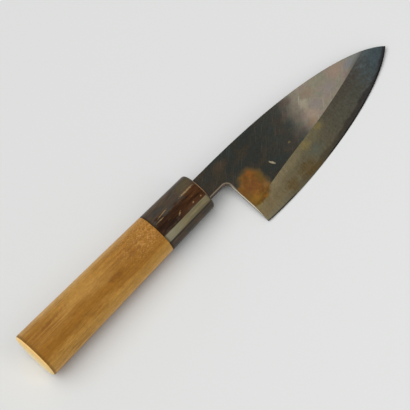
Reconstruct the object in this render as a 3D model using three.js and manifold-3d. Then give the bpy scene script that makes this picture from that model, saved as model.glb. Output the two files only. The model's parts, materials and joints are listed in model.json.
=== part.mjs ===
// A small single-bevel deba kitchen knife: a forge-welded blade of iron and hard steel with its
// tang set in a wood handle behind a horn ferrule. It lies on its back, as on a table.
// Sizes are millimetres. In the knife's own frame x runs from the ferrule to the tip, y from the
// cutting edge to the spine, and z out of the bevelled face; the origin is the ferrule's mouth.
import * as THREE from 'three';
import { mergeVertices } from 'three/addons/utils/BufferGeometryUtils.js';
import Module from 'manifold-3d';

const wasm = await Module();
wasm.setup();

// Blade outline
const BLADE_LENGTH = 105;
const HEEL_HEIGHT = 40;
const TIP_DROP = 20.3;
const NECK_LENGTH = 12;
const NECK_WIDTH = 12.2;
const SPINE_ABOVE_AXIS = 5.3;
const CHIN_LEAN = 0.1;
const CHIN_FILLET = 3;

// Curve runs and slopes: how far each curve keeps its direction at its two ends
const SPINE_NECK_RUN = 35;
const SPINE_TIP_RUN = 26;
const SPINE_TIP_SLOPE = THREE.MathUtils.degToRad(40);
const EDGE_HEEL_RUN = 31;
const EDGE_HEEL_SLOPE = THREE.MathUtils.degToRad(5);
const EDGE_TIP_RUN = 25;
const EDGE_TIP_SLOPE = THREE.MathUtils.degToRad(39);

// Bevel: its width at the heel, and where its ridge line meets the spine behind the tip
const BEVEL_AT_HEEL = 9;
const POINT_LENGTH = 10;
const RIDGE_HEEL_RUN = 48;
const RIDGE_HEEL_SLOPE = THREE.MathUtils.degToRad(10.7);
const RIDGE_POINT_RUN = 51;
const RIDGE_POINT_SLOPE = THREE.MathUtils.degToRad(14.5);
const BEVEL_CROWN = 0.15;
const EDGE_LAND = 0.12;

// Thicknesses
const NECK_THICKNESS = 4.2;
const FLAT_THICKNESS_AT_TIP = 1.6;
const STEEL_AT_HEEL = 1.1;
const STEEL_AT_TIP = 0.55;
const STEEL_LAP = 1;
const WELD_GAP = 0.03;

// Hollow-ground back
const HOLLOW_DEPTH = 0.35;
const HOLLOW_RIM = 2.4;
const HOLLOW_BEHIND_TIP = 12;
const HOLLOW_END_STEEPNESS = 6;

// Tang
const TANG_LENGTH = 75;
const TANG_END_WIDTH = 6;
const TANG_END_THICKNESS = 2.2;

// Ferrule and handle, ground together as one tapered grip
const FERRULE_LENGTH = 29.8;
const WOOD_LENGTH = 83.4;
const GRIP_WIDTH_AT_MOUTH = 21.4;
const GRIP_WIDTH_AT_BUTT = 26.2;
const GRIP_THICKNESS_AT_MOUTH = 17.6;
const GRIP_THICKNESS_AT_BUTT = 21.4;
const GRIP_RIDGE_RISE = 0.8;
const GRIP_RIDGE_ANGLE = THREE.MathUtils.degToRad(138);
const MOUTH_ROUND = 2;
const BUTT_ROUND = 1.6;
const FERRULE_WALL = 2.2;
const TENON_LENGTH = 22;
const SEAL_WALL = 0.8;
const SEAL_PROUD = 0.3;

// Clearances: a glue film between seated pieces, and the burnt socket round the tang
const GLUE_GAP = 0.1;
const SOCKET_GAP = 0.3;

// Where along its length the cutting edge touches the table
const EDGE_CONTACT = 0.43;

// Steps of the curves, and small allowances of the modelling
const CURVE_STEPS = 40;
const BEVEL_STEPS = 4;
const OVAL_STEPS = 48;
const ROUND_STEPS = 5;
const HOLLOW_STEPS = 10;
const HALVINGS = 50;
const SETTLE_STEPS = 6;
const CUT_MARGIN = 6;
const HOLLOW_OVERRUN = 0.1;
const MERGE_DISTANCE = 1e-5;

// Places worked out from the sizes above
const backZ = -NECK_THICKNESS / 2;
const heelX = NECK_LENGTH;
const tipX = heelX + BLADE_LENGTH;
const chinX = heelX + CHIN_LEAN;
const neckLowY = SPINE_ABOVE_AXIS - NECK_WIDTH;
const heel = new THREE.Vector2(heelX, SPINE_ABOVE_AXIS - HEEL_HEIGHT);
const tip = new THREE.Vector2(tipX, SPINE_ABOVE_AXIS - TIP_DROP);
const buttX = -FERRULE_LENGTH - WOOD_LENGTH;

function polar(length, angle) {
  return new THREE.Vector2(length * Math.cos(angle), length * Math.sin(angle));
}

// The three lines that give a deba its shape: spine, cutting edge and bevel ridge
const spineStart = new THREE.Vector2(heelX, SPINE_ABOVE_AXIS);
const spine = new THREE.CubicBezierCurve(
  spineStart,
  spineStart.clone().add(polar(SPINE_NECK_RUN, 0)),
  tip.clone().sub(polar(SPINE_TIP_RUN, -SPINE_TIP_SLOPE)),
  tip,
);
const edge = new THREE.CubicBezierCurve(
  heel,
  heel.clone().add(polar(EDGE_HEEL_RUN, -EDGE_HEEL_SLOPE)),
  tip.clone().sub(polar(EDGE_TIP_RUN, EDGE_TIP_SLOPE)),
  tip,
);
const ridgeStart = new THREE.Vector2(heel.x, heel.y + BEVEL_AT_HEEL);
const ridgeEnd = new THREE.Vector2(tipX - POINT_LENGTH, heightAt(spine, tipX - POINT_LENGTH));
const bevelRidge = new THREE.CubicBezierCurve(
  ridgeStart,
  ridgeStart.clone().add(polar(RIDGE_HEEL_RUN, RIDGE_HEEL_SLOPE)),
  ridgeEnd.clone().sub(polar(RIDGE_POINT_RUN, RIDGE_POINT_SLOPE)),
  ridgeEnd,
);

// Height of a curve at a place along the blade; past its ends the curve runs on straight
function heightAt(curve, x) {
  const ends = [0, 1].map((u) => ({ point: curve.getPoint(u), tangent: curve.getTangent(u) }));
  const past = x <= ends[0].point.x ? ends[0] : x >= ends[1].point.x ? ends[1] : null;
  if (past) {
    return past.point.y + ((x - past.point.x) * past.tangent.y) / past.tangent.x;
  }
  let low = 0;
  let high = 1;
  for (let i = 0; i < HALVINGS; i += 1) {
    const middle = (low + high) / 2;
    if (curve.getPoint(middle).x < x) low = middle;
    else high = middle;
  }
  return curve.getPoint(low).y;
}

// The flat face tapers evenly from the neck to the tip, and so does the layer of steel
function flatZ(x) {
  const share = x / tipX;
  return backZ + NECK_THICKNESS + (FLAT_THICKNESS_AT_TIP - NECK_THICKNESS) * share;
}

function weldZ(x) {
  const share = (x - heelX) / BLADE_LENGTH;
  return backZ + STEEL_AT_HEEL + (STEEL_AT_TIP - STEEL_AT_HEEL) * share;
}

// Solids
function toSolid(geometry) {
  const bare = geometry.clone();
  bare.deleteAttribute('normal');
  bare.deleteAttribute('uv');
  const merged = mergeVertices(bare, MERGE_DISTANCE);
  const mesh = new wasm.Mesh({
    numProp: 3,
    vertProperties: new Float32Array(merged.attributes.position.array),
    triVerts: new Uint32Array(merged.index.array),
  });
  return new wasm.Manifold(mesh);
}

function toGeometry(solid) {
  const mesh = solid.getMesh();
  const geometry = new THREE.BufferGeometry();
  const positions = new Float32Array(mesh.vertProperties);
  geometry.setAttribute('position', new THREE.BufferAttribute(positions, 3));
  geometry.setIndex(new THREE.BufferAttribute(new Uint32Array(mesh.triVerts), 1));
  const shaded = geometry.toNonIndexed();
  shaded.computeVertexNormals();
  return shaded;
}

// A loft through closed sections: each has its place x and a ring of [y, z] points, counter-clockwise
// as seen from the tip, with the same number of points in every ring
function loft(sections) {
  const count = sections[0].ring.length;
  const positions = sections.flatMap(({ x, ring }) => ring.flatMap(([y, z]) => [x, y, z]));
  const index = [];
  for (let i = 0; i + 1 < sections.length; i += 1) {
    for (let j = 0; j < count; j += 1) {
      const k = (j + 1) % count;
      const a = i * count + j;
      const b = i * count + k;
      index.push(a, b, b + count, a, b + count, a + count);
    }
  }
  const last = (sections.length - 1) * count;
  index.push(...capFaces(sections[0].ring, 0, -1));
  index.push(...capFaces(sections[sections.length - 1].ring, last, 1));
  const geometry = new THREE.BufferGeometry();
  geometry.setAttribute('position', new THREE.Float32BufferAttribute(positions, 3));
  geometry.setIndex(index);
  return toSolid(geometry);
}

function capFaces(ring, first, facing) {
  const contour = ring.map(([y, z]) => new THREE.Vector2(y, z));
  return THREE.ShapeUtils.triangulateShape(contour, []).flatMap(([a, b, c]) => {
    const turn = THREE.ShapeUtils.area([contour[a], contour[b], contour[c]]);
    return turn * facing > 0 ? [first + a, first + b, first + c] : [first + a, first + c, first + b];
  });
}

function rectangle(lowY, highY, lowZ, highZ) {
  return [
    [lowY, lowZ],
    [highY, lowZ],
    [highY, highZ],
    [lowY, highZ],
  ];
}

// Blade and tang
function bladeOutline() {
  const shape = new THREE.Shape();
  shape.moveTo(0, neckLowY);
  shape.lineTo(chinX - CHIN_FILLET, neckLowY);
  shape.absarc(chinX - CHIN_FILLET, neckLowY - CHIN_FILLET, CHIN_FILLET, Math.PI / 2, 0, true);
  shape.lineTo(heel.x, heel.y);
  shape.bezierCurveTo(edge.v1.x, edge.v1.y, edge.v2.x, edge.v2.y, tip.x, tip.y);
  shape.bezierCurveTo(spine.v2.x, spine.v2.y, spine.v1.x, spine.v1.y, spineStart.x, spineStart.y);
  shape.lineTo(0, SPINE_ABOVE_AXIS);
  shape.closePath();
  return shape;
}

// What the bevel grinding takes away: the space above a crowned slope from the ridge to the edge
function bevelCutter() {
  const places = edge.getPoints(CURVE_STEPS).map((point) => point.x);
  const stations = [heelX - CUT_MARGIN, ...places, tipX + CUT_MARGIN];
  const slope = [];
  for (let i = -1; i <= BEVEL_STEPS + 1; i += 1) slope.push(i / BEVEL_STEPS);
  return loft(stations.map((x) => {
    const edgeY = heightAt(edge, x);
    const edgeZ = backZ + EDGE_LAND;
    const rise = flatZ(x) - edgeZ;
    const width = heightAt(bevelRidge, x) - edgeY;
    const ground = slope.map((share) => {
      const crown = 4 * BEVEL_CROWN * Math.max(share * (1 - share), 0);
      return [edgeY + width * share, edgeZ + rise * share + crown];
    });
    const top = flatZ(x) + CUT_MARGIN;
    const near = ground[0][0];
    const far = ground[slope.length - 1][0];
    return { x, ring: [...ground, [far, top], [near, top]] };
  }));
}

// A wedge that holds everything below the weld line, to split the blade into iron and steel
function belowWeld(gap) {
  const section = (x) => {
    const lowY = heel.y - CUT_MARGIN;
    const highY = SPINE_ABOVE_AXIS + CUT_MARGIN;
    return { x, ring: rectangle(lowY, highY, backZ - CUT_MARGIN, weldZ(x) + gap) };
  };
  return loft([section(chinX - STEEL_LAP - gap), section(tipX + CUT_MARGIN)]);
}

// The hollow in the back: a shallow bowl that stays one rim away from the outline all round
function hollowCutter() {
  const start = heelX + HOLLOW_RIM;
  const end = tipX - HOLLOW_BEHIND_TIP;
  const spread = (i, steps) => (1 + HOLLOW_OVERRUN) * ((2 * i) / steps - 1);
  const sections = [];
  for (let i = 0; i <= CURVE_STEPS; i += 1) {
    const along = spread(i, CURVE_STEPS);
    const x = (start + end) / 2 + (along * (end - start)) / 2;
    const low = heightAt(edge, x) + HOLLOW_RIM;
    const high = heightAt(spine, x) - HOLLOW_RIM;
    const bowl = [];
    for (let j = 0; j <= HOLLOW_STEPS; j += 1) {
      const across = spread(j, HOLLOW_STEPS);
      const depth = HOLLOW_DEPTH * (1 - across ** 2 - along ** HOLLOW_END_STEEPNESS);
      bowl.push([(low + high) / 2 + (across * (high - low)) / 2, backZ + depth]);
    }
    const floor = backZ - CUT_MARGIN;
    const ring = [[bowl[0][0], floor], [bowl[HOLLOW_STEPS][0], floor], ...bowl.reverse()];
    sections.push({ x, ring });
  }
  return loft(sections);
}

function tangRing(x, gap) {
  const share = -x / TANG_LENGTH;
  const middle = SPINE_ABOVE_AXIS - NECK_WIDTH / 2;
  const width = THREE.MathUtils.lerp(NECK_WIDTH, TANG_END_WIDTH, share) / 2 + gap;
  const thickness = THREE.MathUtils.lerp(NECK_THICKNESS, TANG_END_THICKNESS, share) / 2 + gap;
  return rectangle(middle - width, middle + width, -thickness, thickness);
}

function tangSolid(fromX, toX, gap) {
  return loft([fromX, toX].map((x) => ({ x, ring: tangRing(x, gap) })));
}

function forgedBlade() {
  const plate = new THREE.ExtrudeGeometry(bladeOutline(), {
    depth: NECK_THICKNESS,
    bevelEnabled: false,
    curveSegments: CURVE_STEPS,
  });
  plate.translate(0, 0, backZ);
  const lowY = heel.y - CUT_MARGIN;
  const highY = SPINE_ABOVE_AXIS + CUT_MARGIN;
  const aboveFlat = loft([-CUT_MARGIN, tipX + CUT_MARGIN].map((x) => (
    { x, ring: rectangle(lowY, highY, flatZ(x), flatZ(x) + CUT_MARGIN) }
  )));
  return toSolid(plate).subtract(aboveFlat).subtract(bevelCutter());
}

// Grip: an oval with one soft ridge on the bevelled side, tapered from butt to mouth
function gripOval(x, inset, ridgeRise) {
  const share = x / buttX;
  const width = THREE.MathUtils.lerp(GRIP_WIDTH_AT_MOUTH, GRIP_WIDTH_AT_BUTT, share);
  const thickness = THREE.MathUtils.lerp(GRIP_THICKNESS_AT_MOUTH, GRIP_THICKNESS_AT_BUTT, share);
  const reachY = width / 2 - inset;
  const reachZ = thickness / 2 - inset;
  const at = (angle, scale) => [reachY * Math.cos(angle) * scale, reachZ * Math.sin(angle) * scale];
  const scale = 1 + ridgeRise / Math.hypot(...at(GRIP_RIDGE_ANGLE, 1));
  const open = Math.acos(1 / scale);
  const ring = [at(GRIP_RIDGE_ANGLE, scale)];
  for (let i = 0; i <= OVAL_STEPS; i += 1) {
    const angle = GRIP_RIDGE_ANGLE + open + ((2 * Math.PI - 2 * open) * i) / OVAL_STEPS;
    ring.push(at(angle, 1));
  }
  return ring;
}

function plainOval(x, inset) {
  return gripOval(x, inset, 0).slice(1, -1);
}

// Rings of a rounded end: they pull in by a quarter circle towards the end face
function roundedEnd(endX, radius, direction) {
  const rings = [];
  for (let i = 0; i <= ROUND_STEPS; i += 1) {
    const angle = (Math.PI / 2) * (i / ROUND_STEPS);
    const x = endX - direction * radius * (1 - Math.cos(angle));
    rings.push({ x, ring: gripOval(x, radius * (1 - Math.sin(angle)), GRIP_RIDGE_RISE) });
  }
  return rings;
}

const shoulderX = -FERRULE_LENGTH;
const tenonX = shoulderX + TENON_LENGTH;

function tenonSolid(fromX, toX, gap) {
  return loft([fromX, toX].map((x) => ({ x, ring: plainOval(0, FERRULE_WALL - gap) })));
}

function ferruleSolid() {
  const mouth = roundedEnd(0, MOUTH_ROUND, 1).reverse();
  const back = { x: shoulderX, ring: gripOval(shoulderX, 0, GRIP_RIDGE_RISE) };
  const body = loft([back, ...mouth]);
  const bore = tenonSolid(shoulderX - CUT_MARGIN, tenonX + GLUE_GAP, GLUE_GAP);
  const slot = tangSolid(tenonX - CUT_MARGIN, CUT_MARGIN, SEAL_WALL + 2 * GLUE_GAP);
  return body.subtract(bore).subtract(slot);
}

function handleSolid() {
  const butt = roundedEnd(buttX, BUTT_ROUND, -1);
  const frontX = shoulderX - GLUE_GAP;
  const front = { x: frontX, ring: gripOval(frontX, 0, GRIP_RIDGE_RISE) };
  const tenon = tenonSolid(shoulderX - CUT_MARGIN, tenonX, 0);
  const socket = tangSolid(-TANG_LENGTH - SOCKET_GAP, CUT_MARGIN, SOCKET_GAP);
  return loft([...butt, front]).add(tenon).subtract(socket);
}

function sealSolid() {
  const backX = tenonX + 2 * GLUE_GAP;
  const sleeve = tangSolid(backX, SEAL_PROUD, SEAL_WALL + GLUE_GAP);
  return sleeve.subtract(tangSolid(backX - CUT_MARGIN, CUT_MARGIN, GLUE_GAP));
}

// Pieces
const ironFinish = { color: 0x4a4740, roughness: 0.5, metalness: 0.9 };
const steelFinish = { color: 0x6c6e6c, roughness: 0.35, metalness: 1 };
const hornFinish = { color: 0x3a2c20, roughness: 0.3, metalness: 0 };
const woodFinish = { color: 0xab7f46, roughness: 0.65, metalness: 0 };
const resinFinish = { color: 0x7a5a35, roughness: 0.5, metalness: 0 };

function piece(name, solid, finish) {
  const mesh = new THREE.Mesh(toGeometry(solid), new THREE.MeshStandardMaterial(finish));
  mesh.name = name;
  return mesh;
}

const blade = forgedBlade();
const tang = tangSolid(-TANG_LENGTH, 0, 0);
const knife = new THREE.Group();
knife.add(
  piece('blade_iron', blade.subtract(belowWeld(WELD_GAP)).add(tang), ironFinish),
  piece('edge_steel', blade.intersect(belowWeld(0)).subtract(hollowCutter()), steelFinish),
  piece('ferrule', ferruleSolid(), hornFinish),
  piece('handle', handleSolid(), woodFinish),
  piece('tang_seal', sealSolid(), resinFinish),
);

// Lay the knife down: it touches the table under the ferrule's mouth and at the belly of the edge
function mouthFoot(upward) {
  const halfWidth = GRIP_WIDTH_AT_MOUTH / 2;
  const halfThickness = GRIP_THICKNESS_AT_MOUTH / 2;
  const reach = Math.hypot(halfWidth * upward.y, halfThickness * upward.z);
  const footY = (-(halfWidth ** 2) * upward.y) / reach;
  const footZ = (-(halfThickness ** 2) * upward.z) / reach;
  return new THREE.Vector3(-MOUTH_ROUND, footY, footZ);
}

function tableNormal() {
  const touch = edge.getPoint(EDGE_CONTACT);
  const along = edge.getTangent(EDGE_CONTACT);
  const belly = new THREE.Vector3(touch.x, touch.y, backZ);
  const normal = new THREE.Vector3(0, 0, 1);
  for (let i = 0; i < SETTLE_STEPS; i += 1) {
    const span = mouthFoot(normal).sub(belly);
    normal.set(along.x, along.y, 0).cross(span).normalize();
  }
  return normal;
}

const up = new THREE.Vector3(0, 0, 1);
knife.quaternion.setFromUnitVectors(tableNormal(), up);
const box = new THREE.Box3().setFromObject(knife, true);
const centre = box.getCenter(new THREE.Vector3());
knife.position.set(-centre.x, -centre.y, -box.min.z);

const part = new THREE.Group();
part.add(knife);

export default part;
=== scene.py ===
import json
from math import acos, cos, hypot, pi, radians, sin

import bmesh
import bpy
from mathutils import Euler, Matrix, Vector


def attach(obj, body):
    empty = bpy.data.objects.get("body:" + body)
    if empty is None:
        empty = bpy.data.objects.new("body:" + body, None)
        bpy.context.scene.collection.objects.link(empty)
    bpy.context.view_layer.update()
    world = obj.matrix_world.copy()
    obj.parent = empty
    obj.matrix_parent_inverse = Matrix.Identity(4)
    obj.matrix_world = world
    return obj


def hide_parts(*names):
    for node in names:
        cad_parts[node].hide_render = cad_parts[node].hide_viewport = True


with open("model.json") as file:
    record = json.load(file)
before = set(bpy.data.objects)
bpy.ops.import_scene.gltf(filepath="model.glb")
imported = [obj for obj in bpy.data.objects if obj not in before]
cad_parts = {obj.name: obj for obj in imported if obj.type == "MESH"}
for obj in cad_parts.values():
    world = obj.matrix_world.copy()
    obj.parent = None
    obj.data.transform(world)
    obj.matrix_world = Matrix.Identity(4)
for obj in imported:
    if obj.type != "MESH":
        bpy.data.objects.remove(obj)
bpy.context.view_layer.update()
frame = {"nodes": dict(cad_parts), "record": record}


# Camera
# The photograph looks down on the knife from over the handle and the cutting edge, turned so that
# the knife runs from the lower left corner of the picture to the upper right.
CAMERA_AZIMUTH = radians(-24.329)
CAMERA_ELEVATION = radians(64.469)
CAMERA_ROLL = radians(-23.535)
CAMERA_DISTANCE = 1.127808
CAMERA_AIM = Vector((-0.005254, 0.003663, 0.008))
CAMERA_LENS = 205.529

camera = bpy.data.objects.new("camera", bpy.data.cameras.new("camera"))
bpy.context.scene.collection.objects.link(camera)
camera.data.lens = CAMERA_LENS
camera_look = Euler((pi / 2 - CAMERA_ELEVATION, 0, CAMERA_AZIMUTH)).to_matrix()
camera_turn = camera_look @ Matrix.Rotation(CAMERA_ROLL, 3, "Z")
camera_place = CAMERA_AIM + camera_turn @ Vector((0, 0, CAMERA_DISTANCE))
camera.matrix_world = Matrix.Translation(camera_place) @ camera_turn.to_4x4()
bpy.context.scene.camera = camera
bpy.context.scene.view_settings.view_transform = "Standard"


# Blade iron
# The soft iron body of the forge-welded blade: neck, flat face, most of the ground bevel and the
# tang. Years of use left a dark patina, a scoured area behind the point and a rust patch.
MILLIMETRE = 0.001
FERRULE_LENGTH = 29.8
WOOD_LENGTH = 83.4
NECK_LENGTH = 12.0
NECK_THICKNESS = 4.2
NECK_WIDTH = 12.2
SPINE_ABOVE_AXIS = 5.3
CHIN_FILLET = 3.0
RIM_BRIGHT = 0.35
RIM_GONE = 0.75
BLADE_LENGTH = 105.0
TIP_X = NECK_LENGTH + BLADE_LENGTH
FLAT_THICKNESS_AT_TIP = 1.6
EDGE_LAND = 0.12
STEEL_AT_HEEL = 1.1
STEEL_AT_TIP = 0.55
WELD_MARGIN = 0.2
NECK_MARGIN = 2.0
ARRIS_WEAR = 0.2
ARRIS_STEPS = 2
ARRIS_ANGLE = radians(50)
BLADE_CREASE = radians(5)
MERGE_DISTANCE = 0.002
SAME_PLANE = radians(0.05)
END_FACING = 0.999
FLAT_FACING = cos(radians(4))
SLOPE_FACING = cos(radians(32))
FLAT, BEVEL, SIDE, ARRIS = range(4)
SCOURED_FROM = 52.0
SCOURED_TO = 71.0
SCOURED_SLANT = -0.18
RIDGE_SLOPE_AT_POINT = 0.25
NOISE_ROUGHNESS = 0.55
ENDLESS = 1e6
MIX_SHARE, MIX_UNDER, MIX_OVER = 0, 6, 7
MIX_RESULT = 2


def knife_frame():
    """The knife's own frame: x to the tip, y to the spine and z out of the bevelled face."""
    wood = frame["nodes"]["handle"].data
    butt = [face for face in wood.polygons if -face.normal.x > END_FACING]
    corners = [wood.vertices[i].co for face in butt for i in face.vertices]
    along = -sum((face.normal * face.area for face in butt), Vector()).normalized()
    off_flat = Vector(frame["record"]["mounts"][0]["axis"])
    across = off_flat.cross(along).normalized()
    out = along.cross(across)
    middle = Vector()
    for axis in (along, across, out):
        heights = [corner.dot(axis) for corner in corners]
        middle += axis * (min(heights) + max(heights)) / 2
    turn = Matrix((along, across, out)).transposed()
    mouth = middle + along * (FERRULE_LENGTH + WOOD_LENGTH) * MILLIMETRE
    return Matrix.Translation(mouth) @ turn.to_4x4()


KNIFE = knife_frame()
FROM_KNIFE = KNIFE @ Matrix.Scale(MILLIMETRE, 4)
TO_KNIFE = FROM_KNIFE.inverted()


def paint(red, green, blue):
    """A colour as it looks on a screen, from 0 to 255, as the light that a shader takes."""
    light = []
    for level in (red, green, blue):
        share = level / 255
        light.append(share / 12.92 if share <= 0.04045 else ((share + 0.055) / 1.055) ** 2.4)
    return (*light, 1.0)


class Finish:
    """A surface finish laid out in the knife's own millimetres. Each method adds to it."""

    def __init__(self, name, metallic=0.0, gloss=0.5):
        self.material = bpy.data.materials.new(name)
        self.material.use_nodes = True
        self.tree = self.material.node_tree
        self.shader = self.tree.nodes["Principled BSDF"]
        self.shader.inputs["Metallic"].default_value = metallic
        self.shader.inputs["Specular IOR Level"].default_value = gloss
        lying = self.tree.nodes.new("ShaderNodeTexCoord").outputs["Object"]
        self.place = self.turned(lying, KNIFE.translation, KNIFE.to_euler(), (MILLIMETRE,) * 3)
        self.x, self.y, self.z = self.step("ShaderNodeSeparateXYZ", {}, {0: self.place}).outputs

    def step(self, kind, settings, feeds):
        """One node with its settings, fed with plain values or from other nodes."""
        node = self.tree.nodes.new(kind)
        for name, value in settings.items():
            setattr(node, name, value)
        for socket, value in feeds.items():
            if isinstance(value, bpy.types.NodeSocket):
                self.tree.links.new(value, node.inputs[socket])
            else:
                node.inputs[socket].default_value = value
        return node

    def turned(self, vector, location, rotation, scale):
        """A place as seen from a frame that is moved, turned and scaled."""
        feeds = {"Vector": vector, "Location": location, "Rotation": rotation, "Scale": scale}
        return self.step("ShaderNodeMapping", {"vector_type": "TEXTURE"}, feeds).outputs[0]

    def noise(self, grain, turn=0.0, detail=3.0, seed=0.0):
        """Cloudy noise from 0 to 1, with clouds about as long as grain says, turned on the face."""
        offset = [seed * length for length in grain]
        place = self.turned(self.place, offset, (0, 0, radians(turn)), grain)
        feeds = {"Vector": place, "Scale": 1.0, "Detail": detail, "Roughness": NOISE_ROUGHNESS}
        return self.step("ShaderNodeTexNoise", {}, feeds).outputs[0]

    def math(self, operation, a, b=0.0, c=0.0):
        """One step of arithmetic on up to three values."""
        return self.step("ShaderNodeMath", {"operation": operation}, {0: a, 1: b, 2: c}).outputs[0]

    def both(self, mask, other):
        """Where two masks overlap."""
        return self.math("MULTIPLY", mask, other)

    def mixed(self, value, other, share):
        """Two values mixed, the other one by the share that is given."""
        return self.math("MULTIPLY_ADD", other, share, self.math("MULTIPLY", value, 1 - share))

    def ramp(self, value, start, end):
        """A soft step from 0 at start to 1 at end."""
        settings = {"interpolation_type": "SMOOTHSTEP"}
        feeds = {"Value": value, "From Min": start, "From Max": end}
        return self.step("ShaderNodeMapRange", settings, feeds).outputs[0]

    def band(self, value, low, high, soft):
        """1 between low and high and 0 outside, with soft borders."""
        rise = self.ramp(value, low - soft, low + soft)
        return self.both(rise, self.ramp(value, high + soft, high - soft))

    def scale(self, value, low, high):
        """A value from 0 to 1 spread over another range."""
        feeds = {"Value": value, "To Min": low, "To Max": high}
        return self.step("ShaderNodeMapRange", {}, feeds).outputs[0]

    def wander(self, value, noise, far):
        """A value that noise moves up and down, as far as is given."""
        return self.math("ADD", value, self.scale(noise, -far, far))

    def over(self, colour, mask, other, most=1.0):
        """Another colour laid on where a mask from 0 to 1 says, at most as strongly as given."""
        share = self.math("MULTIPLY", mask, most)
        feeds = {MIX_SHARE: share, MIX_UNDER: colour, MIX_OVER: other}
        return self.step("ShaderNodeMix", {"data_type": "RGBA"}, feeds).outputs[MIX_RESULT]

    def shade(self, colour, value):
        """A colour made darker or lighter by a value."""
        settings = {"data_type": "RGBA", "blend_type": "MULTIPLY"}
        feeds = {MIX_SHARE: 1.0, MIX_UNDER: colour, MIX_OVER: value}
        return self.step("ShaderNodeMix", settings, feeds).outputs[MIX_RESULT]

    def colours(self, value, tones):
        """The colour that a value picks from a row of tones, each at its own place in the row."""
        node = self.step("ShaderNodeValToRGB", {}, {0: value})
        elements = node.color_ramp.elements
        while len(elements) < len(tones):
            elements.new(1.0)
        for element, (position, colour) in zip(elements, tones):
            element.position = position
            element.color = colour
        return node.outputs[0]

    def reach(self, centre, size, turn=0.0):
        """How far a place lies from a centre, counted in the size that is given for each way."""
        place = self.turned(self.place, centre, (0, 0, radians(turn)), size)
        node = self.step("ShaderNodeVectorMath", {"operation": "LENGTH"}, {0: place})
        return node.outputs["Value"]

    def patch(self, centre, size, turn=0.0, ragged=0.4, grain=4.0, soft=0.3, seed=0.0):
        """An oval patch on the face, 1 inside and 0 outside, with a ragged soft border."""
        reach = self.reach((*centre, 0), (*size, ENDLESS), turn)
        border = self.wander(reach, self.noise((grain,) * 3, seed=seed), ragged)
        return self.ramp(border, 1 + soft, 1 - soft)

    def finish(self, colour, roughness, height=None, depth=0.0, metallic=None):
        """Feeds the shader; height from 0 to 1 is a relief as deep as depth says."""
        self.tree.links.new(colour, self.shader.inputs["Base Color"])
        self.tree.links.new(roughness, self.shader.inputs["Roughness"])
        if metallic is not None:
            self.tree.links.new(metallic, self.shader.inputs["Metallic"])
        if height is not None:
            feeds = {"Strength": 1.0, "Distance": depth * MILLIMETRE, "Height": height}
            relief = self.step("ShaderNodeBump", {}, feeds).outputs[0]
            self.tree.links.new(relief, self.shader.inputs["Normal"])
        return self.material


RUST_BROWNS = [
    (0.36, paint(88, 56, 8)),
    (0.5, paint(115, 75, 13)),
    (0.64, paint(148, 97, 26)),
]
RUST_BLOTCHES = [
    ((22.6, -11.6), (3.0, 2.4), paint(138, 80, 16)),
    ((18.6, -18.0), (5.0, 3.6), paint(114, 66, 24)),
    ((25.2, -16.8), (2.0, 3.2), paint(90, 72, 20)),
    ((16.2, -24.0), (3.6, 1.6), paint(136, 98, 14)),
    ((24.4, -21.6), (1.6, 1.4), paint(132, 98, 52)),
]


def rust(surface):
    """The rust patch by the chin: where it is, and its mottled brown, more olive at the chin."""
    middle = surface.patch((20.0, -17.8), (6.9, 8.6), ragged=0.3, grain=4, soft=0.28, seed=4)
    corner = surface.patch((14.0, -19.6), (3.8, 6.4), ragged=0.3, grain=3, soft=0.3, seed=8)
    ridge = surface.patch((17.5, -25.0), (5.4, 1.8), ragged=0.4, grain=3, soft=0.35, seed=6)
    rusted = surface.math("MAXIMUM", surface.math("MAXIMUM", middle, corner), ridge)
    spared = surface.patch((14.2, -10.8), (2.4, 2.4), ragged=0.4, grain=2, soft=0.7, seed=9)
    rusted = surface.both(rusted, surface.scale(spared, 1.0, 0.3))
    mottle = surface.noise((3.4, 3.4, 3.4), detail=3.0, seed=2.0)
    specks = surface.noise((1.0, 1.0, 1.0), detail=3.0, seed=6.0)
    brown = surface.colours(surface.mixed(mottle, specks, 0.15), RUST_BROWNS)
    for centre, size, tone in RUST_BLOTCHES:
        blotch = surface.patch(centre, size, ragged=0.8, grain=1.6, soft=0.8, seed=centre[0])
        brown = surface.over(brown, blotch, tone, 0.6)
    by_chin = surface.both(surface.ramp(surface.x, 19, 13), surface.ramp(surface.y, -15, -22))
    brown = surface.over(brown, by_chin, paint(118, 86, 20), 0.6)
    thin = surface.ramp(rusted, 0.95, 0.4)
    brown = surface.over(brown, thin, paint(110, 88, 32), 0.65)
    return rusted, brown


def notch_highlight(surface):
    """A pale line painted along the finger notch, under the neck and round into the chin, as a
    painted highlight.
    """
    corner_x = NECK_LENGTH - CHIN_FILLET
    corner_y = SPINE_ABOVE_AXIS - NECK_WIDTH - CHIN_FILLET
    right = surface.math("MAXIMUM", surface.math("SUBTRACT", surface.x, corner_x), 0.0)
    above = surface.math("MAXIMUM", surface.math("SUBTRACT", surface.y, corner_y), 0.0)
    squares = surface.math("MULTIPLY_ADD", right, right, surface.math("MULTIPLY", above, above))
    radius = surface.math("SQRT", squares)
    line = surface.ramp(radius, CHIN_FILLET + RIM_GONE, CHIN_FILLET + RIM_BRIGHT)
    top_of_chin = surface.ramp(surface.y, -15, -10)
    return surface.both(line, top_of_chin)


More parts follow.
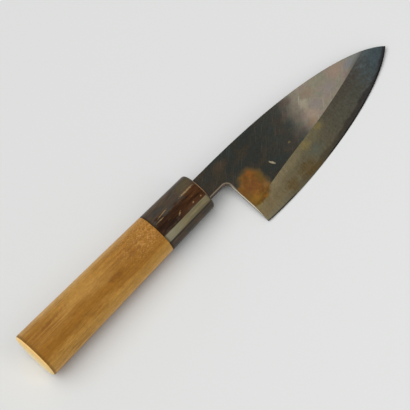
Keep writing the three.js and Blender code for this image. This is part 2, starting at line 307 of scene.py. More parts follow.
PATINA_TONES = [
    (0.36, paint(42, 48, 46)),
    (0.49, paint(43, 44, 39)),
    (0.63, paint(54, 48, 38)),
]
SCOURED_TONES = [
    (0.36, paint(128, 125, 111)),
    (0.5, paint(141, 131, 114)),
    (0.64, paint(136, 121, 113)),
]
SCOURED_BLOTCHES = [
    ((66.8, -6.4), (2.4, 3.0), paint(170, 160, 138)),
    ((65.4, -13.0), (3.4, 3.0), paint(164, 144, 126)),
    ((63.0, -16.2), (2.6, 1.4), paint(152, 124, 98)),
    ((71.0, -11.2), (2.6, 2.2), paint(132, 124, 122)),
    ((72.0, -3.8), (3.4, 2.4), paint(136, 118, 96)),
    ((79.5, -3.8), (3.0, 2.4), paint(130, 130, 108)),
    ((81.0, -10.0), (3.4, 2.6), paint(136, 126, 124)),
    ((90.5, -5.6), (4.2, 2.8), paint(156, 132, 114)),
    ((97.5, -8.6), (3.4, 1.6), paint(120, 124, 128)),
]
SCOURED_LINES = [(66.4, -3.7), (65.3, -6.3)]


def flat_patina():
    """Dark patina on the flat face, scoured to grey behind the point, with rust by the chin."""
    flat = Finish("flat_patina", gloss=0.3)
    fine = flat.noise((0.8, 0.8, 0.8), detail=4.0)
    clouds = flat.noise((9, 7, 7))
    tint = flat.noise((4.5, 3.5, 3.5), seed=3.0)
    strokes = flat.noise((9, 0.8, 4), turn=48, detail=4.0)
    scratches = flat.noise((8, 0.3, 4), turn=40, detail=3.0, seed=7.0)
    dark = flat.colours(flat.mixed(clouds, tint, 0.5), PATINA_TONES)
    by_neck = flat.ramp(flat.x, 19, 5)
    dark = flat.over(dark, by_neck, paint(60, 50, 36), 0.3)
    scratched = flat.ramp(scratches, 0.56, 0.7)
    dark = flat.over(dark, scratched, paint(90, 88, 78), 0.35)
    dark = flat.shade(dark, flat.scale(fine, 0.5, 1.5))
    grey = flat.colours(tint, SCOURED_TONES)
    rubbed = flat.ramp(strokes, 0.54, 0.7)
    grey = flat.over(grey, rubbed, paint(162, 152, 134), 0.45)
    dull = flat.ramp(clouds, 0.46, 0.3)
    grey = flat.over(grey, dull, paint(124, 120, 106), 0.5)
    by_point = flat.ramp(flat.x, 93, 104)
    grey = flat.over(grey, by_point, paint(121, 125, 123), 0.85)
    for centre, size, tone in SCOURED_BLOTCHES:
        blotch = flat.patch(centre, size, ragged=0.8, grain=1.8, soft=0.8, seed=centre[0])
        grey = flat.over(grey, blotch, tone, 0.65)
    for centre in SCOURED_LINES:
        line = flat.patch(centre, (2.6, 0.26), turn=46, ragged=0.4, grain=1.0, soft=0.5)
        grey = flat.over(grey, line, paint(184, 172, 154), 0.55)
    grey = flat.shade(grey, flat.scale(fine, 0.8, 1.2))
    over_ridge = flat.math("MULTIPLY_ADD", flat.x, -RIDGE_SLOPE_AT_POINT, flat.y)
    by_ridge = flat.both(flat.ramp(flat.x, 84, 100), flat.ramp(over_ridge, -33, -36))
    grey = flat.over(grey, by_ridge, paint(88, 84, 78), 0.8)
    slant = flat.math("MULTIPLY_ADD", flat.y, SCOURED_SLANT, flat.x)
    slant = flat.wander(slant, strokes, 2)
    slant = flat.wander(slant, clouds, 6)
    hazed = flat.ramp(slant, 34, SCOURED_FROM)
    colour = flat.over(dark, hazed, grey, 0.05)
    scoured = flat.ramp(slant, SCOURED_FROM, SCOURED_TO)
    colour = flat.over(colour, scoured, grey)
    smudge = flat.patch((15.0, 1.2), (3.4, 2.4), ragged=0.7, grain=2.0, soft=0.7)
    colour = flat.over(colour, smudge, paint(84, 64, 44), 0.4)
    stain = flat.patch((60.6, 0.4), (2.8, 1.8), ragged=0.7, grain=2.0, soft=0.7, seed=2.0)
    colour = flat.over(colour, stain, paint(84, 70, 62), 0.6)
    fleck = flat.patch((34.1, -16.4), (1.7, 0.5), turn=-62, ragged=0.9, grain=0.8, seed=1.0)
    colour = flat.over(colour, fleck, paint(176, 164, 136), 0.7)
    speck = flat.patch((47.4, -15.2), (0.7, 0.5), ragged=0.8, grain=0.6, seed=5.0)
    colour = flat.over(colour, speck, paint(112, 98, 62), 0.7)
    rusted, brown = rust(flat)
    colour = flat.over(colour, rusted, brown)
    # A pale line along the finger notch, a painted highlight.
    colour = flat.over(colour, notch_highlight(flat), paint(150, 132, 112), 0.7)
    roughness = flat.math("MULTIPLY_ADD", rusted, 0.25, flat.scale(fine, 0.38, 0.52))
    relief = flat.math("ADD", fine, flat.ramp(scratches, 0.62, 0.72))
    return flat.finish(colour, roughness, relief, 0.02, flat.scale(rusted, 0.68, 0.1))


BEVEL_TONES = [
    (0.12, paint(118, 103, 72)),
    (0.38, paint(100, 92, 70)),
    (0.58, paint(86, 81, 65)),
    (0.78, paint(77, 77, 68)),
    (0.92, paint(72, 84, 88)),
]
UNDER_RIDGE_TONES = [
    (0.2, paint(132, 119, 89)),
    (0.5, paint(108, 100, 74)),
    (0.6, paint(84, 78, 64)),
    (0.78, paint(75, 69, 60)),
    (0.92, paint(82, 90, 91)),
]
BY_EDGE_TONES = [
    (0.12, paint(118, 108, 84)),
    (0.28, paint(92, 85, 63)),
    (0.5, paint(72, 65, 50)),
    (0.64, paint(60, 55, 48)),
    (0.92, paint(56, 55, 57)),
]
BROWN_OLIVE_STAINS = [
    ((33, -30.8), (3.2, 2.6)),
    ((44, -30), (4.8, 3.0)),
    ((47, -33), (6, 1.2)),
]
YELLOW_OLIVE_STAINS = [
    ((51.5, -21.6), (2.2, 2.8)),
    ((63, -19.6), (2.0, 1.4)),
    ((14, -25), (2, 3)),
]


def ground_bevel(name, metallic):
    """The ground bevel: khaki at the heel, dark olive in the middle and blue at the point, darker
    towards the cutting edge. The iron and the steel below it have taken the same stain."""
    bevel = Finish(name, metallic, gloss=0.3)
    clouds = bevel.noise((9, 4, 4), seed=1.0)
    mottle = bevel.noise((2.5, 1.6, 1.6), detail=3.0, seed=3.0)
    lines = bevel.noise((0.6, 6, 6), turn=-4, detail=3.0)
    fine = bevel.noise((1.1, 1.0, 1.0), detail=4.0)
    above_edge = bevel.math("ADD", bevel.z, NECK_THICKNESS / 2 - EDGE_LAND)
    taper = (FLAT_THICKNESS_AT_TIP - NECK_THICKNESS) / TIP_X
    full_rise = bevel.math("MULTIPLY_ADD", bevel.x, taper, NECK_THICKNESS - EDGE_LAND)
    across = bevel.math("DIVIDE", above_edge, full_rise)
    wavy = bevel.wander(across, clouds, 0.2)
    along = bevel.wander(bevel.math("DIVIDE", bevel.x, TIP_X), mottle, 0.1)
    colour = bevel.colours(along, BEVEL_TONES)
    under_ridge = bevel.ramp(wavy, 0.6, 0.95)
    colour = bevel.over(colour, under_ridge, bevel.colours(along, UNDER_RIDGE_TONES))
    by_edge = bevel.ramp(wavy, 0.3, 0.17)
    colour = bevel.over(colour, by_edge, bevel.colours(along, BY_EDGE_TONES))
    for centre, size in BROWN_OLIVE_STAINS:
        stain = bevel.patch(centre, size, ragged=1.2, grain=1.8, soft=0.6, seed=centre[0])
        colour = bevel.over(colour, stain, paint(88, 70, 34), 0.7)
    for centre, size in YELLOW_OLIVE_STAINS:
        stain = bevel.patch(centre, size, ragged=1.2, grain=1.4, soft=0.7, seed=centre[0])
        colour = bevel.over(colour, stain, paint(132, 116, 66), 0.6)
    teal = bevel.patch((54, -26.6), (3.5, 2.4), ragged=1.0, grain=2.0, soft=0.8, seed=9.0)
    colour = bevel.over(colour, teal, paint(84, 92, 82), 0.5)
    rusted, brown = rust(bevel)
    colour = bevel.over(colour, rusted, brown, 0.9)
    pits = bevel.both(bevel.ramp(bevel.x, 70, 30), bevel.ramp(fine, 0.57, 0.68))
    colour = bevel.over(colour, pits, paint(56, 50, 36), 0.4)
    colour = bevel.shade(colour, bevel.scale(mottle, 0.72, 1.28))
    colour = bevel.shade(colour, bevel.scale(lines, 0.7, 1.26))
    colour = bevel.shade(colour, bevel.scale(fine, 0.6, 1.4))
    # A near-black line along the cutting edge, wider towards the point and left out between 31 and
    # 56 mm along the blade.
    by_point = bevel.ramp(bevel.x, 90, 114)
    line_width = bevel.scale(by_point, 0.05, 0.09)
    edge_line = bevel.ramp(bevel.math("SUBTRACT", across, line_width), 0.02, -0.02)
    without_edge_line = bevel.band(bevel.x, 31, 56, 4)
    edge_line = bevel.both(edge_line, bevel.math("SUBTRACT", 1.0, without_edge_line))
    colour = bevel.over(colour, edge_line, paint(22, 20, 18), 0.9)
    roughness = bevel.math("MULTIPLY_ADD", rusted, 0.25, bevel.scale(fine, 0.36, 0.48))
    return bevel.finish(colour, roughness, lines, 0.01)


def forged_side():
    """The sides of the blade: dark scale on neck and spine, with the fillet painted lighter and the
    chin painted near white as a painted highlight.
    """
    side = Finish("forged_side", metallic=0.5, gloss=0.3)
    scale = side.noise((3, 1.2, 1.2), detail=4.0, seed=6.0)
    thin = side.ramp(scale, 0.35, 0.65)
    colour = side.over(paint(52, 44, 36), thin, paint(86, 74, 60))
    # Painted highlight: the fillet painted lighter and the chin near white.
    fillet = side.both(side.band(side.x, 9, 14, 1), side.ramp(side.y, -4.5, -6.5))
    colour = side.over(colour, fillet, paint(112, 94, 78), 0.7)
    chin_highlight = side.both(fillet, side.ramp(side.y, -8.5, -11))
    colour = side.over(colour, chin_highlight, paint(236, 226, 204), 0.9)
    return side.finish(colour, side.scale(scale, 0.35, 0.55), scale, 0.03)


def rubbed_arris_and_highlight():
    """The worn arrises, rubbed to bare metal and only lightly stained, their pale colour partly a
    painted highlight.
    """
    arris = Finish("rubbed_arris_and_highlight", metallic=0.6, gloss=0.3)
    stain = arris.noise((2.5, 2.5, 2.5), detail=4.0, seed=12.0)
    stained = arris.ramp(stain, 0.4, 0.62)
    # Pale bare metal along the arrises, partly worn and partly a painted highlight.
    colour = arris.over(paint(176, 158, 130), stained, paint(112, 98, 78))
    return arris.finish(colour, arris.scale(stain, 0.3, 0.45))


def bevelled(made, edges, width, segments):
    """Rounds some edges of a piece and gives the faces that this makes."""
    return bmesh.ops.bevel(
        made,
        geom=edges,
        offset=width,
        segments=segments,
        profile=0.5,
        affect="EDGES",
        material=-1,
        clamp_overlap=True,
    )["faces"]


def worn_forging(node, keep_sharp):
    """A copy of a forged solid in knife millimetres, with its arrises worn round."""
    forging = bmesh.new()
    forging.from_mesh(frame["nodes"][node].data)
    bmesh.ops.transform(forging, matrix=TO_KNIFE, verts=forging.verts)
    bmesh.ops.remove_doubles(forging, verts=forging.verts, dist=MERGE_DISTANCE)
    bmesh.ops.dissolve_limit(
        forging, angle_limit=SAME_PLANE, verts=forging.verts, edges=forging.edges
    )
    arrises = [
        edge
        for edge in forging.edges
        if edge.calc_face_angle(0) > ARRIS_ANGLE
        and all(corner.co.x > 0 for corner in edge.verts)
        and not keep_sharp((edge.verts[0].co + edge.verts[1].co) / 2)
    ]
    worn = bevelled(forging, arrises, ARRIS_WEAR, ARRIS_STEPS)
    for face in forging.faces:
        face.smooth = True
        if face.normal.z > FLAT_FACING:
            face.material_index = FLAT
        elif face.normal.z > SLOPE_FACING:
            face.material_index = BEVEL
        else:
            face.material_index = SIDE
    for face in worn:
        face.material_index = ARRIS
    for edge in forging.edges:
        edge.smooth = edge.calc_face_angle(0) < BLADE_CREASE
    return forging


def show(made, name, node, finishes):
    """Lays a piece made in knife millimetres where the knife lies, in place of its CAD solid."""
    bmesh.ops.transform(made, matrix=FROM_KNIFE, verts=made.verts)
    mesh = bpy.data.meshes.new(name)
    made.to_mesh(mesh)
    made.free()
    for finish in finishes:
        mesh.materials.append(finish)
    piece = bpy.data.objects.new(name, mesh)
    bpy.context.scene.collection.objects.link(piece)
    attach(piece, "root")
    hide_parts(node)


def weld_height(x):
    """Height of the weld between iron and steel at a place along the blade."""
    share = (x - NECK_LENGTH) / BLADE_LENGTH
    return -NECK_THICKNESS / 2 + STEEL_AT_HEEL + (STEEL_AT_TIP - STEEL_AT_HEEL) * share


def at_weld(point):
    """Whether a place on the iron lies where the steel is welded on."""
    low = point.z < weld_height(point.x) + WELD_MARGIN
    return low and point.x > NECK_LENGTH - NECK_MARGIN


iron = worn_forging("blade_iron", at_weld)
iron_bevel = ground_bevel("bevel_iron", metallic=0.6)
iron_finishes = [flat_patina(), iron_bevel, forged_side(), rubbed_arris_and_highlight()]
show(iron, "iron_body", "blade_iron", iron_finishes)


# Edge steel
# The hard steel layer forged to the back of the iron. It makes the cutting edge and the hollow
# back, and shows as a darker band along the edge of the bevel.
SEAM_MARGIN = 0.15
EDGE_SIDE_Y = -15.0
STEEL_BEVEL, STEEL_BACK = range(2)


def hollow_back():
    """The hollow-ground back: grinding lines in grey steel, with a patina and specks of rust."""
    back = Finish("hollow_back", metallic=0.85, gloss=0.3)
    fine = back.noise((14, 0.25, 0.25), turn=3, detail=3.0, seed=10.0)
    clouds = back.noise((14, 8, 8), detail=4.0, seed=11.0)
    specks = back.noise((1.6, 1.6, 1.6), detail=4.0, seed=13.0)
    patina = back.ramp(clouds, 0.3, 0.7)
    colour = back.over(paint(128, 127, 122), patina, paint(100, 96, 87))
    rusted = back.ramp(specks, 0.64, 0.76)
    colour = back.over(colour, rusted, paint(98, 68, 38), 0.7)
    colour = back.shade(colour, back.scale(fine, 0.78, 1.22))
    return back.finish(colour, back.scale(fine, 0.3, 0.44), fine, 0.008)


def at_seam_or_edge(point):
    """Whether a place on the steel lies at the weld or on the side of the cutting edge."""
    return point.z > weld_height(point.x) - SEAM_MARGIN or point.y < EDGE_SIDE_Y


steel = worn_forging("edge_steel", at_seam_or_edge)
for face in steel.faces:
    face.material_index = STEEL_BEVEL if face.normal.z > SLOPE_FACING else STEEL_BACK
steel_finishes = [ground_bevel("bevel_steel", metallic=0.65), hollow_back()]
show(steel, "steel_edge", "edge_steel", steel_finishes)


# Ferrule
# A collar of dark buffalo horn at the front of the handle, ground together with the wood to one
# tapered oval with a soft ridge on the bevelled side, and polished.
GRIP_WIDTH_AT_MOUTH = 21.4
GRIP_WIDTH_AT_BUTT = 26.2
GRIP_THICKNESS_AT_MOUTH = 17.6
GRIP_THICKNESS_AT_BUTT = 21.4
GRIP_RIDGE_RISE = 0.8
GRIP_RIDGE_ANGLE = radians(138)
GRIP_RIDGE_ROUND = radians(3)
GRIP_SIDES = 144
GRIP_CREASE = radians(30)
MOUTH_ROUND = 2.0
MOUTH_STEPS = 6
JOINT_ROUND = 0.15
JOINT_STEPS = 1
FERRULE_WALL = 2.2
TENON_LENGTH = 22.0
TANG_LENGTH = 75.0
TANG_END_WIDTH = 6.0
TANG_END_THICKNESS = 2.2
SEAL_WALL = 0.8
GLUE_GAP = 0.1
PALE_FLECKS = [
    ((-6.4, 2.3), (3.8, 0.42), 0),
    ((-22.4, 2.6), (2.8, 0.22), 7),
    ((-25.4, 0.9), (2.0, 0.22), 0),
    ((-16.4, -3.3), (1.0, 0.35), 30),
    ((-7.9, -4.1), (0.45, 0.25), 20),
    ((-3.2, -4.4), (0.5, 0.25), 20),
]


def ring(made, x, outline, at=None):
    """A closed ring across the knife at x, with the outline for that x or for another one."""
    points = bmesh.ops.create_circle(made, segments=GRIP_SIDES, radius=1)["verts"]
    for i, point in enumerate(points):
        point.co = (x, *outline(x if at is None else at, 2 * pi * i / GRIP_SIDES))
    return points


def grip_oval(inset=0.0, ridge_rise=GRIP_RIDGE_RISE):
    """The grip's oval section, with straight flanks that lead up to the ridge."""

    def outline(x, turn):
        share = -x / (FERRULE_LENGTH + WOOD_LENGTH)
        width = GRIP_WIDTH_AT_MOUTH * (1 - share) + GRIP_WIDTH_AT_BUTT * share
        thickness = GRIP_THICKNESS_AT_MOUTH * (1 - share) + GRIP_THICKNESS_AT_BUTT * share
        reach_y = width / 2 - inset
        reach_z = thickness / 2 - inset
        top = hypot(reach_y * cos(GRIP_RIDGE_ANGLE), reach_z * sin(GRIP_RIDGE_ANGLE))
        flank = acos(1 / (1 + ridge_rise / top))
        away = hypot(min(turn, 2 * pi - turn), GRIP_RIDGE_ROUND)
        stretch = 1 / cos(flank - away) if away < flank else 1.0
        angle = GRIP_RIDGE_ANGLE + turn
        return reach_y * cos(angle) * stretch, reach_z * sin(angle) * stretch

    return outline


def tang_slot(gap):
    """The tang's rectangular section with a gap all round, met along rays from its middle."""

    def outline(x, turn):
        share = -x / TANG_LENGTH
        half_width = (NECK_WIDTH * (1 - share) + TANG_END_WIDTH * share) / 2 + gap
        half_thickness = (NECK_THICKNESS * (1 - share) + TANG_END_THICKNESS * share) / 2 + gap
        angle = GRIP_RIDGE_ANGLE + turn
        reach = 1 / max(abs(cos(angle)) / half_width, abs(sin(angle)) / half_thickness)
        return SPINE_ABOVE_AXIS - NECK_WIDTH / 2 + reach * cos(angle), reach * sin(angle)

    return outline


def ring_edges(points):
    """The edges of a ring, in order."""
    return [
        edge
        for near, far in zip(points, points[1:] + points[:1])
        for edge in near.link_edges
        if edge.other_vert(near) is far
    ]


def skin(made, rings):
    """Walls from each ring to the next."""
    for near, far in zip(rings, rings[1:]):
        bmesh.ops.bridge_loops(made, edges=ring_edges(near) + ring_edges(far))


def smooth_skin(made):
    """Smooth faces that point outwards, with hard corners kept."""
    bmesh.ops.recalc_face_normals(made, faces=made.faces)
    for face in made.faces:
        face.smooth = True
    for edge in made.edges:
        edge.smooth = edge.calc_face_angle(0) < GRIP_CREASE


def around_grip(surface):
    """Degrees round the grip: spine side 0, bevelled face 90, edge side 180."""
    rounded = surface.math("MULTIPLY", surface.z, GRIP_WIDTH_AT_MOUTH / GRIP_THICKNESS_AT_MOUTH)
    return surface.math("DEGREES", surface.math("ARCTAN2", rounded, surface.y))


def polished_horn():
    """Grey-brown horn, the grey partly a painted sheen, with a dark chestnut heart, pale fibres and
    a paler flank by the ridge that is a painted reflection.
    """
    horn = Finish("polished_horn", gloss=0.08)
    around = around_grip(horn)
    streaks = horn.noise((12, 1.3, 1.3), detail=4.0)
    fibres = horn.noise((4, 0.4, 0.4), detail=4.0, seed=2.0)
    clouds = horn.noise((7, 2.5, 2.5), seed=5.0)
    wavy = horn.wander(around, clouds, 24)
    outside = horn.ramp(horn.x, -0.3, -1.2)
    upper_side = horn.ramp(horn.z, 2, 4)
    brownish = horn.ramp(clouds, 0.38, 0.62)
    # The grey-brown ground is partly the horn's own colour and partly a painted sheen.
    colour = horn.over(paint(66, 61, 54), brownish, paint(80, 66, 53))
    colour = horn.shade(colour, horn.scale(fibres, 0.55, 1.45))
    chestnut = horn.ramp(streaks, 0.38, 0.62)
    heart = horn.over(paint(34, 18, 6), chestnut, paint(58, 34, 16))
    reddish = horn.both(horn.ramp(horn.x, -22, -5), horn.ramp(streaks, 0.28, 0.6))
    heart = horn.over(heart, reddish, paint(86, 52, 25), 0.65)
    at_heart = horn.both(outside, horn.band(wavy, 80, 124, 6))
    colour = horn.over(colour, at_heart, heart)
    pale_fibres = horn.ramp(fibres, 0.6, 0.7)
    colour = horn.over(colour, pale_fibres, paint(124, 96, 62), 0.4)
    olive = horn.patch((-5.5, 5.6), (4.5, 2.4), ragged=1.0, grain=1.5, soft=0.8, seed=3.0)
    colour = horn.over(colour, horn.both(olive, upper_side), paint(96, 86, 60), 0.5)
    for centre, size, turn in PALE_FLECKS:
        fleck = horn.patch(centre, size, turn, ragged=1.2, grain=0.8, soft=0.6, seed=centre[0])
        colour = horn.over(colour, horn.both(fleck, upper_side), paint(176, 146, 102), 0.6)
    # The pale olive flank by the ridge is a painted reflection on that facet of the horn.
    streaked = horn.ramp(streaks, 0.4, 0.6)
    flank = horn.over(paint(128, 118, 88), streaked, paint(114, 104, 78))
    # Lighter and greyer towards the wood: a painted highlight on the rear of the flank.
    rear_flank_highlight = horn.ramp(horn.x, -16, -27)
    flank = horn.over(flank, rear_flank_highlight, paint(138, 133, 110), 0.7)
    flank = horn.shade(flank, horn.scale(fibres, 0.7, 1.3))
    painted_reflection_band = horn.both(outside, horn.band(around, 121.8, 141.8, 1.6))
    colour = horn.over(colour, painted_reflection_band, flank)
    # Painted shade: a dark line just below the ridge.
    shade_below_ridge = horn.band(around, 144.5, 148.5, 1.5)
    colour = horn.over(colour, shade_below_ridge, paint(34, 27, 18), 0.6)
    # Painted shade where the horn meets the wood.
    joint_shade = horn.ramp(horn.x, 1.4 - FERRULE_LENGTH, 0.2 - FERRULE_LENGTH)
    colour = horn.over(colour, joint_shade, paint(44, 29, 13), 0.6)
    # A pale line on the upper part of the mouth rim, a painted highlight.
    mouth_oval = (ENDLESS, GRIP_WIDTH_AT_MOUTH / 2, GRIP_THICKNESS_AT_MOUTH / 2)
    off_axis = horn.reach((0, 0, 0), mouth_oval)
    rim_highlight = horn.both(horn.ramp(horn.x, -0.7, -0.3), horn.ramp(off_axis, 0.77, 0.83))
    rim_highlight = horn.both(rim_highlight, horn.both(upper_side, horn.band(horn.y, -5, 2.5, 2)))
    colour = horn.over(colour, rim_highlight, paint(198, 152, 106), 0.85)
    return horn.finish(colour, horn.scale(fibres, 0.26, 0.38), fibres, 0.015)


ferrule = bmesh.new()
tenon_front = TENON_LENGTH - FERRULE_LENGTH
slot = tang_slot(SEAL_WALL + 2 * GLUE_GAP)
bore = grip_oval(FERRULE_WALL - GLUE_GAP, 0.0)
back_rim = ring(ferrule, -FERRULE_LENGTH, grip_oval())
mouth_rim = ring(ferrule, 0, grip_oval())
slot_mouth = ring(ferrule, 0, slot)
slot_back = ring(ferrule, tenon_front + GLUE_GAP, slot)
bore_front = ring(ferrule, tenon_front + GLUE_GAP, bore, at=0)
bore_back = ring(ferrule, -FERRULE_LENGTH, bore, at=0)
skin(ferrule, [back_rim, mouth_rim, slot_mouth, slot_back, bore_front, bore_back, back_rim])
bevelled(ferrule, ring_edges(mouth_rim), MOUTH_ROUND, MOUTH_STEPS)
bevelled(ferrule, ring_edges(back_rim), JOINT_ROUND, JOINT_STEPS)
smooth_skin(ferrule)
show(ferrule, "horn_ferrule", "ferrule", [polished_horn()])


# Handle
# Plain straight-grained wood, shaped oval and rubbed smooth, with a tenon inside the ferrule and
# a socket burnt for the tang. The side has darkened with use, and the butt shows end grain.
SOCKET_GAP = 0.3
BUTT_ROUND = 1.6
BUTT_STEPS = 5
BUTT_FACING = 0.5
SIDE_GRAIN, END_GRAIN = range(2)
TREE_HEART = (22.0, -26.0)
WOOD_TONES = [
    (0.34, paint(150, 100, 34)),
    (0.48, paint(158, 110, 42)),
    (0.62, paint(167, 118, 48)),
    (0.76, paint(157, 107, 39)),
]
DARK_STREAKS = [
    ((-97.5, 4.2), (10, 0.7), 3),
    ((-60, -3.2), (4, 1.4), 0),
    ((-45, -0.4), (3, 1.1), 0),
]


def rubbed_wood():
    """Golden brown wood: fine fibres and pores, darker along the middle, paler towards the spine,
    and painted paler past the ridge and on the edge side as painted fill light.
    """
    wood = Finish("rubbed_wood", gloss=0.16)
    around = around_grip(wood)
    streaks = wood.noise((32, 1.3, 1.3), detail=4.0)
    fibres = wood.noise((6, 0.3, 0.3), detail=4.0, seed=1.0)
    pores = wood.noise((1.6, 0.7, 0.7), detail=3.0, seed=2.0)
    clouds = wood.noise((18, 5, 5), detail=3.0, seed=4.0)
    mottle = wood.noise((4.5, 2.0, 2.0), detail=4.0, seed=6.0)
    grain = wood.noise((18, 0.6, 0.6), detail=3.0, seed=9.0)
    wavy = wood.wander(around, clouds, 20)
    colour = wood.colours(streaks, WOOD_TONES)
    faded = wood.both(wood.band(wood.x, -92, -62, 12), wood.ramp(wavy, 105, 80))
    colour = wood.over(colour, faded, paint(188, 142, 70), 0.6)
    middle = wood.band(wavy, 94, 122, 8)
    colour = wood.over(colour, middle, paint(146, 96, 22), 0.65)
    spine_side = wood.ramp(wavy, 58, 26)
    colour = wood.over(colour, spine_side, paint(206, 166, 106), 0.75)
    # Past the ridge and on the edge side the wood is painted paler as painted fill light.
    painted_fill_past_ridge = wood.ramp(wavy, 124, 144)
    colour = wood.over(colour, painted_fill_past_ridge, paint(194, 146, 70), 0.75)
    painted_fill_on_edge_side = wood.ramp(wavy, 150, 182)
    colour = wood.over(colour, painted_fill_on_edge_side, paint(216, 172, 108), 0.75)
    underside = wood.band(around, -180, -20, 20)
    colour = wood.over(colour, underside, paint(172, 126, 60))
    near_horn = wood.both(wood.ramp(wood.x, -62, -34), wood.ramp(wavy, 130, 104))
    colour = wood.over(colour, near_horn, paint(156, 104, 36), 0.3)
    for turn in (38, -38):
        figure = wood.noise((2.2, 0.4, 0.4), turn=turn, detail=2.0, seed=turn)
        flecks = wood.both(near_horn, wood.ramp(figure, 0.5, 0.68))
        colour = wood.over(colour, flecks, paint(204, 154, 90), 0.5)
        pits = wood.both(near_horn, wood.ramp(figure, 0.46, 0.34))
        colour = wood.over(colour, pits, paint(134, 84, 24), 0.4)
    for centre, size, turn in DARK_STREAKS:
        mark = wood.patch(centre, size, turn, ragged=1.2, grain=1.6, soft=0.8, seed=centre[0])
        mark = wood.both(mark, wood.ramp(wood.z, 2, 4))
        colour = wood.over(colour, mark, paint(120, 72, 18), 0.6)
    grain_lines = wood.both(wood.ramp(wood.x, -70, -96), wood.ramp(grain, 0.52, 0.66))
    colour = wood.over(colour, grain_lines, paint(120, 74, 20), 0.5)
    worn_end = wood.ramp(wood.x, -110.6, -112)
    colour = wood.over(colour, worn_end, paint(112, 76, 26), 0.6)
    colour = wood.shade(colour, wood.scale(streaks, 0.88, 1.12))
    colour = wood.shade(colour, wood.scale(mottle, 0.78, 1.22))
    colour = wood.shade(colour, wood.scale(fibres, 0.78, 1.22))
    colour = wood.shade(colour, wood.scale(pores, 0.72, 1.28))
    return wood.finish(colour, wood.scale(fibres, 0.5, 0.68), fibres, 0.04)


def end_grain():
    """The pale sawn butt, painted paler still as painted light where the key light falls on it:
    growth rings round a heart that lies outside the grip, and pores.
    """
    grain = Finish("end_grain", gloss=0.18)
    pores = grain.noise((0.5, 0.5, 0.5), detail=4.0)
    age = grain.reach((0, *TREE_HEART), (ENDLESS, 1, 1))
    age = grain.wander(age, grain.noise((5, 5, 5), seed=3.0), 0.8)
    feeds = {"W": age, "Scale": 0.7, "Detail": 3.0, "Roughness": NOISE_ROUGHNESS}
    rings = grain.step("ShaderNodeTexNoise", {"noise_dimensions": "1D"}, feeds).outputs[0]
    late_wood = grain.ramp(rings, 0.42, 0.6)
    # Near-white tones: pale end grain, painted paler still as painted light; more orange at the top
    # and paler at the bottom.
    colour = grain.over(paint(255, 227, 166), late_wood, paint(252, 212, 143))
    upper = grain.ramp(grain.z, 1, 9)
    colour = grain.over(colour, upper, paint(255, 203, 116), 0.7)
    lower = grain.ramp(grain.z, 0, -7)
    colour = grain.over(colour, lower, paint(255, 240, 198), 0.7)
    colour = grain.shade(colour, grain.scale(pores, 0.86, 1.14))
    return grain.finish(colour, grain.scale(pores, 0.5, 0.7), pores, 0.05)


handle = bmesh.new()
butt_x = -FERRULE_LENGTH - WOOD_LENGTH
shoulder_x = -FERRULE_LENGTH - GLUE_GAP
tenon = grip_oval(FERRULE_WALL, 0.0)
socket = tang_slot(SOCKET_GAP)
butt_rim = ring(handle, butt_x, grip_oval())
shoulder = ring(handle, shoulder_x, grip_oval())
tenon_base = ring(handle, shoulder_x, tenon, at=0)
tenon_end = ring(handle, tenon_front, tenon, at=0)
socket_mouth = ring(handle, tenon_front, socket)
socket_end = ring(handle, -TANG_LENGTH - SOCKET_GAP, socket)
skin(handle, [butt_rim, shoulder, tenon_base, tenon_end, socket_mouth, socket_end])
bmesh.ops.contextual_create(handle, geom=ring_edges(butt_rim))
bmesh.ops.contextual_create(handle, geom=ring_edges(socket_end))
bevelled(handle, ring_edges(butt_rim), BUTT_ROUND, BUTT_STEPS)
bevelled(handle, ring_edges(shoulder), JOINT_ROUND, JOINT_STEPS)
smooth_skin(handle)
for face in handle.faces:
    at_butt = face.calc_center_median().x < butt_x + BUTT_ROUND
    sawn = at_butt and -face.normal.x > BUTT_FACING
    face.material_index = END_GRAIN if sawn else SIDE_GRAIN
show(handle, "wood_handle", "handle", [rubbed_wood(), end_grain()])


# Tang seal
# A thin collar of brown resin that closes the gap between the tang and the horn at the mouth.
# It is run in warm round the tang and stands a little proud of the horn.
SEAL_PROUD = 0.3


def brown_resin():
    """Hardened resin, brown and dusty."""
    resin = Finish("brown_resin", gloss=0.3)
    dust = resin.noise((0.8, 0.8, 0.8), detail=4.0)
    dusty = resin.ramp(dust, 0.35, 0.65)
    colour = resin.over(paint(96, 70, 42), dusty, paint(140, 108, 70))
    return resin.finish(colour, resin.scale(dust, 0.4, 0.6), dust, 0.05)


seal = bmesh.new()
seal_back = tenon_front + 2 * GLUE_GAP
seal_outside = tang_slot(SEAL_WALL + GLUE_GAP)
seal_inside = tang_slot(GLUE_GAP)
outer_back = ring(seal, seal_back, seal_outside)
outer_front = ring(seal, SEAL_PROUD, seal_outside)
inner_front = ring(seal, SEAL_PROUD, seal_inside)
inner_back = ring(seal, seal_back, seal_inside)
skin(seal, [outer_back, outer_front, inner_front, inner_back, outer_back])
smooth_skin(seal)
show(seal, "resin_seal", "tang_seal", [brown_resin()])


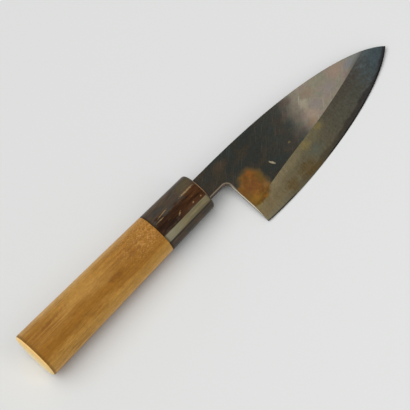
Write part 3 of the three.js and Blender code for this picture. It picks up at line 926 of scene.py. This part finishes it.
# Floor and light
# A plain pale floor under a white sky, with a large soft key light from behind the handle on the
# spine side and a faint card on the edge side, so that the knife casts only a soft shadow.
FLOOR_SIZE = 40.0
FLOOR_PAINT = paint(227, 228, 227)
FLOOR_ROUGHNESS = 0.9
FLOOR_GLOSS = 0.1
SKY_PAINT = paint(255, 255, 255)
SKY_LEVEL = 0.38
KEY_LEVEL = 1.75
KEY_SPREAD = radians(70)
KEY_FROM = (radians(150), radians(68))
CARD_LEVEL = 0.55
CARD_WIDTH = 0.5
CARD_HEIGHT = CARD_WIDTH / 3
CARD_DISTANCE = 0.7
CARD_FROM = (radians(-70.7), radians(48))

floor = bmesh.new()
bmesh.ops.create_grid(floor, x_segments=1, y_segments=1, size=FLOOR_SIZE / 2)
floor_mesh = bpy.data.meshes.new("floor")
floor.to_mesh(floor_mesh)
floor.free()
floor_piece = bpy.data.objects.new("floor", floor_mesh)
bpy.context.scene.collection.objects.link(floor_piece)
floor_finish = bpy.data.materials.new("pale_floor")
floor_finish.use_nodes = True
floor_shader = floor_finish.node_tree.nodes["Principled BSDF"]
floor_shader.inputs["Base Color"].default_value = FLOOR_PAINT
floor_shader.inputs["Roughness"].default_value = FLOOR_ROUGHNESS
floor_shader.inputs["Specular IOR Level"].default_value = FLOOR_GLOSS
floor_mesh.materials.append(floor_finish)

world = bpy.data.worlds.new("studio")
bpy.context.scene.world = world
world.use_nodes = True
sky = world.node_tree.nodes["Background"]
sky.inputs["Color"].default_value = SKY_PAINT
sky.inputs["Strength"].default_value = SKY_LEVEL


def direction(azimuth, elevation):
    """The way from the knife to a light."""
    return Vector((cos(azimuth) * cos(elevation), sin(azimuth) * cos(elevation), sin(elevation)))


key = bpy.data.objects.new("key", bpy.data.lights.new("key", "SUN"))
bpy.context.scene.collection.objects.link(key)
key.data.energy = KEY_LEVEL
key.data.angle = KEY_SPREAD
key.rotation_euler = direction(*KEY_FROM).to_track_quat("Z", "Y").to_euler()

card = bpy.data.objects.new("card", bpy.data.lights.new("card", "AREA"))
bpy.context.scene.collection.objects.link(card)
card.data.shape = "RECTANGLE"
card.data.size = CARD_WIDTH
card.data.size_y = CARD_HEIGHT
card.data.energy = CARD_LEVEL
card.location = direction(*CARD_FROM) * CARD_DISTANCE
card.rotation_euler = direction(*CARD_FROM).to_track_quat("Z", "X").to_euler()
